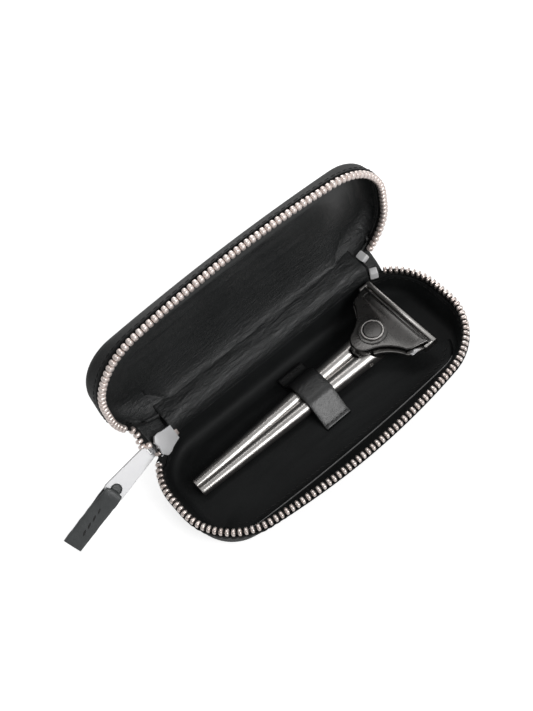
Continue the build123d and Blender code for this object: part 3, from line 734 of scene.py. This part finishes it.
def across_corner(low, mid, high, pull, spread, steps):
    """Column from the base's rim through mid to the lid's rim, leaving both rims squarely."""
    first = [bezier(low, low + Vector((0, 0, pull)), mid - LATERAL * spread, mid, k / steps)
             for k in range(steps + 1)]
    second = [bezier(mid, mid + LATERAL * spread, high + Vector((0, -pull, 0)), high, k / steps)
              for k in range(1, steps + 1)]
    return first, second


def left_corner():
    """Tape and leather that pass through the slider and close the corner behind it."""
    cols = []
    count = 22
    first_angle, last_angle = 45.5, 88.0
    for i in range(count + 1):
        s = i / count
        low, high = rim_point(first_angle + (last_angle - first_angle) * s, -1, 0.2, 3.4)
        mid = CENTRE + TAIL * (-6.2 + 13.6 * clamp(s / 0.72))
        end = Vector((low.x, AXIS_Y - 1.2, AXIS_Z + 1.0))
        mid = mid.lerp(end, ease((s - 0.55) / 0.45))
        mid.x = mid.x * 0.6 + low.x * 0.4
        crumple = 0.5 * noise.noise(Vector((s * 9, 0.0, 5.0))) * ease((s - 0.4) * 4)
        first, second = across_corner(low, mid, high, 3.0, 2.6, 10)
        for half, offset in ((first, 0), (second, 1)):
            for k, p in enumerate(half):
                p += Vector((0, -0.6, 0.6)) * crumple * math.sin(math.pi * (k + offset) / 10)
        cols.append(first + second)
    fold_sheet("corner_gusset", cols, M_LINING, 0.7)


def right_corner():
    """Soft leather that closes the far end of the spine behind the two end clips."""
    cols = []
    count = 14
    first_angle, last_angle = 86.0, 54.0
    for i in range(count + 1):
        s = i / count
        low, high = rim_point(first_angle + (last_angle - first_angle) * s, 1, 0.2, 2.6)
        mid = Vector((low.x, (low.y + high.y) / 2 - 2.0, (low.z + high.z) / 2 + 0.8))
        end = Vector((low.x, AXIS_Y - 1.2, AXIS_Z + 1.0))
        first, second = across_corner(low, end.lerp(mid, ease(s * 1.2)), high, 2.0, 1.6, 7)
        cols.append(first + second)
    fold_sheet("corner_gusset_right", cols, M_LINING, 0.7)


spine_skin()
spine_drape()
left_corner()
right_corner()


# Zip teeth


def add_bead(verts, faces, origin, along, up, length):
    """One zip tooth: a cast bead with squarish shoulders that sits astride the tape's edge."""
    side = up.cross(along).normalized()
    start = len(verts)
    rings, around = 9, 16
    half_width, half_height, sunk = 1.62, 1.5, 1.78

    def swell(v, power=0.68):
        return math.copysign(abs(v) ** power, v)

    centre = origin - up * sunk
    for i in range(1, rings):
        lat = math.pi * i / rings - math.pi / 2
        flat = swell(math.cos(lat))
        for j in range(around):
            lon = 2 * math.pi * j / around
            verts.append(centre + along * swell(math.cos(lon)) * flat * length / 2
                         + side * swell(math.sin(lon)) * flat * half_width
                         + up * swell(math.sin(lat)) * half_height)
    join_rings(faces, start, rings - 1, around)


def zip_run(first):
    """Points along the zip line from the slider's corner round the front to the far end of the spine."""
    ring = zip_loop()
    start, end = corner_point(first, -1), corner_point(LAST_ANGLE, 1)
    right_end = SIDE_POINTS + CORNER_POINTS
    left = [p for p in ring[right_end + BACK_POINTS:] if p[1] < start[1]]
    right = [p for p in ring[:right_end] if p[1] < end[1]]
    return [Vector((*p, 0)) for p in [start] + left + right + [end]]


def zip_teeth(name, first, offset, place, height, length, mat, body, stands_for):
    """A row of teeth at a steady pitch."""
    run = zip_run(first)
    total = sum((b - a).length for a, b in zip(run, run[1:]))
    verts, faces = [], []
    want, used, i = TOOTH_LENGTH + offset, 0.0, 0
    while want <= total - TOOTH_LENGTH:
        while used + (run[i + 1] - run[i]).length < want:
            used += (run[i + 1] - run[i]).length
            i += 1
        step = (run[i + 1] - run[i]).normalized()
        p = run[i] + step * (want - used)
        p.z = height
        here, ahead, above = place(p), place(p + step), place(p + Vector((0, 0, 1)))
        add_bead(verts, faces, here, (ahead - here).normalized(), (above - here).normalized(), length)
        want += TOOTH_PITCH
    new_piece(name, verts, faces, mat, body, stands_for)


def lid_place(p):
    """The same x as the base: the lid's outline is mirrored by its own placing."""
    return as_lid(Vector((-p[0], p[1], p[2])))


zip_teeth("base_teeth", BASE_FIRST_ANGLE, 0.0, as_base, BASE_HEIGHT, 1.8, M_TOOTH_PAINTED_SHADED, "base",
          ("base_zip_teeth",))
zip_teeth("lid_teeth", LID_FIRST_ANGLE, TOOTH_PITCH / 2, lid_place, LID_HEIGHT, 2.52, M_TOOTH_PAINTED_LIT, "lid",
          ("lid_zip_teeth",))


def chain_piece(name, start, end, count, mat, foot_a, foot_b, body=None, stands_for=()):
    """Teeth along a curve from a rim to the slider's mouth, with the strip of tape that carries them.
    start and end each hold a point, the way the chain runs there and the way its teeth point."""
    (a, da, ua), (b, db, ub) = start, end
    steps, strip_steps = 24, 5
    bead, tape_edge = 2.1, 1.3
    reach = (b - a).length * 0.55
    ctrl = (a, a + da.normalized() * reach, b - db.normalized() * reach, b)
    rows = []
    for i in range(steps + 1):
        t = i / steps
        q = (bezier(*ctrl, min(t + 0.01, 1.0)) - bezier(*ctrl, max(t - 0.01, 0.0))).normalized()
        up = ua.lerp(ub, ease(t))
        rows.append((bezier(*ctrl, t), q, (up - q * up.dot(q)).normalized()))
    verts, faces = [], []
    for i in range(count):
        p, q, up = rows[int((i + 0.5) / count * steps)]
        add_bead(verts, faces, p, q, up, bead)
    teeth = new_piece(name, verts, faces, mat, body, stands_for)
    strip = []
    for i, (p, q, up) in enumerate(rows):
        foot = foot_a.lerp(foot_b, i / steps)
        strip.append([(p - up * tape_edge).lerp(foot, k / strip_steps) for k in range(strip_steps + 1)])
    verts, faces = skin_rows(strip, False)
    cloth = new_piece(name + "_tape", verts, faces, M_TAPE, body, ())
    thicken(cloth, 0.7)
    if body is None:
        for obj in (teeth, cloth):
            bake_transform(obj)


def free_chains():
    """Where the two rows of teeth leave the rims and reach the slider."""
    lid_angle, base_angle = 33.4, 42.2
    x, y = corner_point(lid_angle)
    turn = math.radians(lid_angle)
    way = Vector((math.sin(turn), 0, -math.cos(turn)))
    rim = Vector((x, AXIS_Y, AXIS_Z + AXIS_Y - y)), way, Vector((0, -1, 0))
    mouth = CENTRE - TAIL * 6.4 + LATERAL * 1.6, TAIL, LATERAL * -1
    chain_piece("lid_chain_soft", rim, mouth, 6, M_TOOTH_PAINTED_LIT, rim_point(lid_angle, -1, 0.0, 0.0)[1],
                rim_point(46.0, -1, 0.0, 3.6)[1], stands_for=("lid_chain_end",))
    x, y = corner_point(base_angle)
    turn = math.radians(base_angle)
    way = Vector((math.sin(turn), math.cos(turn), 0))
    rim = Vector((x, y, BASE_HEIGHT)), way, Vector((0, 0, 1))
    mouth = CENTRE - TAIL * 5.6 - LATERAL * 1.5, TAIL, LATERAL
    chain_piece("base_chain_soft", rim, mouth, 1, M_TOOTH_PAINTED_SHADED, rim_point(41.0, -1, 0.0, 1.8)[0],
                rim_point(47.0, -1, 0.0, 3.6)[0], "base")


free_chains()


# Strap over the handle


def smooth_path(pts, radius, step=0.8):
    """Points along a polyline whose corners are rounded by quadratic curves."""
    out = [Vector(pts[0])]
    for a, p, b in zip(pts, pts[1:], pts[2:]):
        p, before, after = Vector(p), Vector(a) - Vector(p), Vector(b) - Vector(p)
        q0 = p + before.normalized() * min(radius, before.length * 0.48)
        q1 = p + after.normalized() * min(radius, after.length * 0.48)
        for k in range(9):
            t = k / 8
            out.append(q0 * (1 - t) ** 2 + p * 2 * t * (1 - t) + q1 * t * t)
    out.append(Vector(pts[-1]))
    dense = [out[0]]
    for q in out[1:]:
        start = dense[-1]
        n = max(1, int((q - start).length / step))
        dense += [start.lerp(q, k / n) for k in range(1, n + 1)]
    return dense


def band(name, path, width_axis, widths, thick, crown, mat, place, body, stands_for):
    """Leather strip along a path in a plane, its long edges rounded and its middle slightly crowned."""
    rows = []
    steps = 8
    last = len(path) - 1
    half = thick / 2
    edge = min(0.45, thick * 0.45)
    for i, p in enumerate(path):
        t = (path[min(i + 1, last)] - path[max(i - 1, 0)]).normalized()
        up = width_axis.cross(t).normalized()
        w = widths(p) / 2
        row = []
        for side in (1, -1):
            for k in range(steps + 1):
                u = side * (2 * k / steps - 1)
                row.append(p + width_axis * u * (w - edge) + up * (side * half + crown * (1 - u * u)))
            for out, lift in ((w - edge * 0.3, half - edge * 0.3), (w, half - edge),
                              (w, edge - half), (w - edge * 0.3, edge * 0.3 - half)):
                row.append(p + (width_axis * out + up * lift) * side)
        rows.append([place(q) for q in row])
    verts, faces = skin_rows(rows, True, (place(path[0]), place(path[-1])))
    new_piece(name, verts, faces, mat, body, stands_for)


def strap():
    """Strap sewn to the floor in front of and behind the handle, with its two rows of stitches."""
    top = FLOOR_Z + 0.2 + HANDLE_THICK + 0.1
    low = FLOOR_Z + STRAP_THICK / 2
    front, rear = RAZOR_Y - 17.0, RAZOR_Y + 17.4
    section = ((front, low), (front + 2.0, low + 0.1), (RAZOR_Y - 5.2, top + 0.1),
               (RAZOR_Y + 4.8, top + 0.25), (RAZOR_Y + 8.2, top - 1.6), (RAZOR_Y + 11.8, low), (rear, low))
    path = smooth_path([(STRAP_X, y, z) for y, z in section], 2.4)
    band("strap_leather", path, Vector((1, 0, 0)), lambda p: STRAP_WIDTH, STRAP_THICK, 0.12, M_STRAP, as_base,
         "base", ("strap",))
    verts, faces = [], []
    for y in (front + 1.7, rear - 1.7):
        for i in range(5):
            x = STRAP_X - STRAP_WIDTH / 2 + 1.8 + 2.6 * i
            stitch_mesh(verts, faces, Vector((x, y, low + 0.62)), Vector((1, 0.06, 0)), Vector((0, 0, 1)),
                        2.1, 0.8, 0.5)
    new_piece("strap_thread", verts, faces, M_THREAD_PALE, "base", ("strap_stitches",))


strap()


# The pull and its folded tab

PULL_FRAME = PULL @ Matrix.Rotation(math.radians(-10.5), 4, "Y")
PULL_REACH, PULL_TOP, PULL_END = 27.2, 3.0, 4.7
TOP_ROUND, END_ROUND, PULL_AXIS = 1.3, 2.4, -0.10
EYE_BACK, EYE_FRONT, EYE_HALF, EYE_ROUND = -2.9, 0.6, 1.7, 0.6
WINDOW_AT, WINDOW_R = 23.6, 2.75


def rounded_plate(near, far, steps):
    """Outline with four round corners; near and far give an end's arc centre, half width and radius."""
    pts = []
    for (x, half, r), side, start in ((near, 1, 0), (far, 1, 90), (far, -1, 180), (near, -1, 270)):
        for k in range(steps + 1):
            t = math.radians(start + 90 * k / steps)
            pts.append((x + r * math.cos(t), side * (half - r) + r * math.sin(t)))
    return pts


def ring_at(x, r, n=36):
    return [(x + r * math.cos(2 * math.pi * i / n), r * math.sin(2 * math.pi * i / n)) for i in range(n)]


def pull_tag():
    """The pull: a plate that widens to a round window, with an eye for the bridge, and its cut sides in dark
    steel as painted dark reflection.
    """
    plate = rounded_plate((PULL_AXIS, PULL_TOP, TOP_ROUND), (END_ROUND - PULL_REACH, PULL_END, END_ROUND), 8)
    eye = rounded_plate((EYE_FRONT - EYE_ROUND, EYE_HALF, EYE_ROUND),
                        (EYE_BACK + EYE_ROUND, EYE_HALF, EYE_ROUND), 4)
    half_thick, round_edge = 0.6, 0.2
    data = bpy.data.curves.new("pull_tag", "CURVE")
    data.dimensions = "2D"
    data.fill_mode = "BOTH"
    data.extrude = half_thick - round_edge
    data.bevel_depth = round_edge
    data.bevel_resolution = 2
    for pts in (plate, ring_at(-WINDOW_AT, WINDOW_R), eye):
        spline = data.splines.new("POLY")
        spline.points.add(len(pts) - 1)
        for point, (x, z) in zip(spline.points, pts):
            point.co = (x, z, 0, 1)
        spline.use_cyclic_u = True
    curve = bpy.data.objects.new("pull_tag", data)
    mesh = bpy.data.meshes.new_from_object(curve)
    verts = [PULL_FRAME @ Vector((v.co.x, v.co.z, v.co.y)) for v in mesh.vertices]
    faces = [tuple(p.vertices) for p in mesh.polygons]
    bpy.data.objects.remove(curve)
    bpy.data.curves.remove(data)
    obj = new_piece("pull_tag", verts, faces, M_SLIDER, "pull", ("pull_plate",), flat=True)
    across = (PULL_FRAME.to_3x3() @ Vector((0, 1, 0))).normalized()
    # The side faces take dark steel: painted dark reflection along the plate's edges.
    obj.data.materials.append(M_STEEL_DARK)
    for poly in obj.data.polygons:
        if abs(poly.normal.dot(across)) < 0.35:
            poly.material_index = 1


def window_leather():
    """The turn of the tab's leather that is seen inside the pull's round window."""
    rim = WINDOW_R - 0.15
    section = ((0.05, 0.46), (1.2, 0.42), (2.1, 0.30), (rim, 0.05), (rim, -0.4), (1.5, -0.5), (0.05, -0.5))
    rows = [[PULL_FRAME @ Vector((x, y, z)) for x, z in ring_at(-WINDOW_AT, r)] for r, y in section]
    verts, faces = skin_rows(rows, True)
    new_piece("window_leather", verts, faces, M_TAB, "pull", ())


pull_tag()
window_leather()

TAB_LENGTH, TAB_WIDTH, TAB_NECK, TAB_AT = 29.5, 8.7, 4.0, 25.5
TAB = PULL_FRAME @ Matrix.Translation((-TAB_AT, 0, 0)) @ Matrix.Rotation(math.radians(-7.5), 4, "Y") \
    @ Matrix.Rotation(math.radians(-12), 4, "Z")


def tab_width(p):
    """Width of the tab, which narrows to a neck where it turns through the window."""
    neck = ease((1.25 - abs(p.y)) / 0.35) * ease((p.x + 1.6) / 0.8)
    shoulder = ease((p.x + 4.5) / 6.0) * 0.5
    end = 0.35 * noise.noise(Vector((p.x * 0.3, p.y, 4.0)))
    return (TAB_WIDTH - shoulder + end) * (1 - neck) + TAB_NECK * neck


def tab_place(p):
    return TAB @ Vector(p)


def tab():
    """Folded strip of leather looped through the pull's window, with stitches on both sides."""
    section = ((-TAB_LENGTH, 0.62), (-14.0, 0.62), (-7.5, 0.85), (-3.6, 1.75), (-0.4, 1.85), (0.8, 1.2),
               (0.9, 0.0), (0.8, -1.2), (-0.4, -1.85), (-3.6, -1.75), (-7.5, -0.85), (-14.0, -0.62),
               (0.4 - TAB_LENGTH, -0.62))
    path = smooth_path([(x, y, 0) for x, y in section], 1.6, 0.35)
    band("tab_leather", path, Vector((0, 0, 1)), tab_width, 1.2, 0.10, M_TAB, tab_place, "tab",
         ("leather_tab",))
    verts, faces = [], []
    for side in (-1, 1):
        for i in range(4):
            p = Vector((-9.6 - 3.9 * i, side * 1.26, 0.3 - 0.25 * i))
            a, b, c = (tab_place(p + Vector(v)) for v in ((0, 0, 0), (1.0, 0, 0.30), (0, side, 0)))
            stitch_mesh(verts, faces, a, b - a, (c - a).normalized(), 3.0, 0.95, 0.5)
    new_piece("tab_thread", verts, faces, M_THREAD_PALE, "tab", ("tab_stitches",))


tab()


# Solid parts that keep their own shape


def button_knurl():
    """Fine upright ridges round the button's side."""
    low, high = (Vector(c) * 1000 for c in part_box("release_button"))
    mid = (low + high) / 2
    radius = (high.x - low.x) / 2
    top = high.z - 0.35
    foot = top - 1.5
    proud, groove, ridges = 0.16, 0.11, 44
    rows = []
    for z, grow, share in ((foot, 0.02, 1.0), (foot + 0.15, proud, 1.0), (top - 0.15, proud, 1.0),
                           (top, 0.02, 1.0), (top, 0.02, 0.9), (foot, 0.02, 0.9), (foot, 0.02, 1.0)):
        row = []
        for i in range(ridges * 2):
            a = math.pi * i / ridges
            r = (radius + grow - (groove if i % 2 else 0.0)) * share
            row.append(Vector((mid.x + r * math.cos(a), mid.y + r * math.sin(a), z)))
        rows.append(row)
    verts, faces = skin_rows(rows, True)
    new_piece("button_knurl", verts, faces, M_STEEL, "button", (), flat=True)


def soften(obj, width):
    """Welds split corners and rounds every sharp edge a little."""
    weld = obj.modifiers.new("weld", "WELD")
    weld.merge_threshold = 1e-6
    mod = obj.modifiers.new("round", "BEVEL")
    mod.width = width * 0.001
    mod.segments = 2
    mod.limit_method = "ANGLE"
    mod.angle_limit = math.radians(30)
    mod.harden_normals = True
    mod.use_clamp_overlap = True
    for poly in obj.data.polygons:
        poly.use_smooth = True


button_knurl()

# Material and width of the rounded edges
FINISH = {
    "base_top_stop": (M_STOP, 0.2),
    "lid_top_stop": (M_STOP, 0.2),
    "zip_bottom_stop": (M_TOOTH_PAINTED_LIT, 0.3),
    "slider_body": (M_SLIDER, 0.35),
    "slider_bridge": (M_SLIDER, 0.3),
    "razor_handle": (M_STEEL, 0.3),
    # The head plate and the release button take the darkened steel: painted dark reflection.
    "head_plate": (M_STEEL_PAINTED_REFLECTION, 0.42),
    "head_guard": (M_STEEL, 0.22),
    "razor_blade": (M_BLADE, 0.03),
    "release_button": (M_STEEL_PAINTED_REFLECTION, 0.12),
    "button_spring": (M_STEEL_DARK, 0.05),
    "pivot_pin": (M_STEEL, 0.1),
    "pivot_spring": (M_STEEL_DARK, 0.03),
    "base_board": (M_BOARD, 0.1),
    "lid_board": (M_BOARD, 0.1),
}
for node, (mat, width) in FINISH.items():
    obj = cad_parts[node]
    obj.data.materials.clear()
    obj.data.materials.append(mat)
    soften(obj, width)


# Floor, world, lamps and camera


def studio_floor():
    """White floor that shows white to the camera, dimmer in reflections, and keeps the shadow."""
    bpy.ops.mesh.primitive_plane_add(size=6.0, location=(0, 0, -0.0003))
    ground = bpy.context.active_object
    ground.name = "studio_floor"
    mat, tree, shader = nodes_of("floor_white")
    shader.inputs["Base Color"].default_value = grey(0.75)
    shader.inputs["Roughness"].default_value = 0.9
    rays = add(tree, "ShaderNodeLightPath")
    dim = calc(tree, "MULTIPLY", rays.outputs["Is Glossy Ray"], 0.35)
    strength = calc(tree, "MULTIPLY", calc(tree, "MAXIMUM", rays.outputs["Is Camera Ray"], dim), 0.72)
    glow = add(tree, "ShaderNodeEmission", in_Color=grey(1.0))
    tree.links.new(strength, glow.inputs["Strength"])
    both = add(tree, "ShaderNodeAddShader")
    tree.links.new(shader.outputs["BSDF"], both.inputs[0])
    tree.links.new(glow.outputs["Emission"], both.inputs[1])
    tree.links.new(both.outputs["Shader"], tree.nodes["Material Output"].inputs["Surface"])
    ground.data.materials.append(mat)


def studio_world():
    """White to the camera, soft in reflections, brighter there towards +X, and low as light."""
    world = bpy.data.worlds.new("studio")
    bpy.context.scene.world = world
    world.use_nodes = True
    tree = world.node_tree
    back = tree.nodes["Background"]
    back.inputs["Color"].default_value = grey(1.0)
    rays = add(tree, "ShaderNodeLightPath")
    axes = add(tree, "ShaderNodeSeparateXYZ")
    tree.links.new(add(tree, "ShaderNodeTexCoord").outputs["Generated"], axes.inputs["Vector"])
    side = stretch(tree, axes.outputs["X"], 0.15, 1.0, (-0.7, 0.3), "SMOOTHSTEP")
    gloss = calc(tree, "MULTIPLY", calc(tree, "MULTIPLY", rays.outputs["Is Glossy Ray"], side), 0.45)
    seen = calc(tree, "MAXIMUM", rays.outputs["Is Camera Ray"], gloss)
    tree.links.new(stretch(tree, seen, 0.30, 1.0), back.inputs["Strength"])


def lamp(name, place, target, size, power):
    """Rectangular lamp that faces its target."""
    data = bpy.data.lights.new(name, "AREA")
    data.shape = "RECTANGLE"
    data.size, data.size_y = size
    data.energy = power
    obj = bpy.data.objects.new(name, data)
    bpy.context.scene.collection.objects.link(obj)
    obj.location = place
    obj.rotation_euler = (Vector(target) - Vector(place)).to_track_quat("-Z", "Y").to_euler()


studio_floor()
studio_world()
lamp("front", (0.24, -0.80, 0.68), (0, 0.0, 0.02), (0.55, 0.42), 4.6)
lamp("overhead", (0.16, 0.34, 0.95), (0, 0.0, 0.02), (0.6, 0.16), 1.1)
lamp("back", (0.50, 0.90, 0.50), (0, 0.0, 0.03), (0.7, 0.4), 3.2)

# The photograph's viewpoint
CAMERA_AT, LENS = (-0.1108, -0.2068, 0.4330), 55.69
AZIMUTH, ELEVATION, ROLL = (math.radians(a) for a in (-24.528, 57.927, -17.587))


def photo_camera():
    """Camera at the photograph's viewing angle."""
    data = bpy.data.cameras.new("camera")
    data.sensor_width = 36.0
    data.lens = LENS
    data.clip_start = 0.01
    camera = bpy.data.objects.new("camera", data)
    bpy.context.scene.collection.objects.link(camera)
    back = Vector((math.sin(AZIMUTH) * math.cos(ELEVATION), -math.cos(AZIMUTH) * math.cos(ELEVATION),
                   math.sin(ELEVATION)))
    right = Vector((math.cos(AZIMUTH), math.sin(AZIMUTH), 0))
    up = back.cross(right)
    across = right * math.cos(ROLL) + up * math.sin(ROLL)
    upward = up * math.cos(ROLL) - right * math.sin(ROLL)
    turn = Matrix((across, upward, back)).transposed().to_4x4()
    camera.matrix_world = Matrix.Translation(CAMERA_AT) @ turn
    bpy.context.scene.camera = camera


photo_camera()
bpy.context.scene.view_settings.view_transform = "Standard"
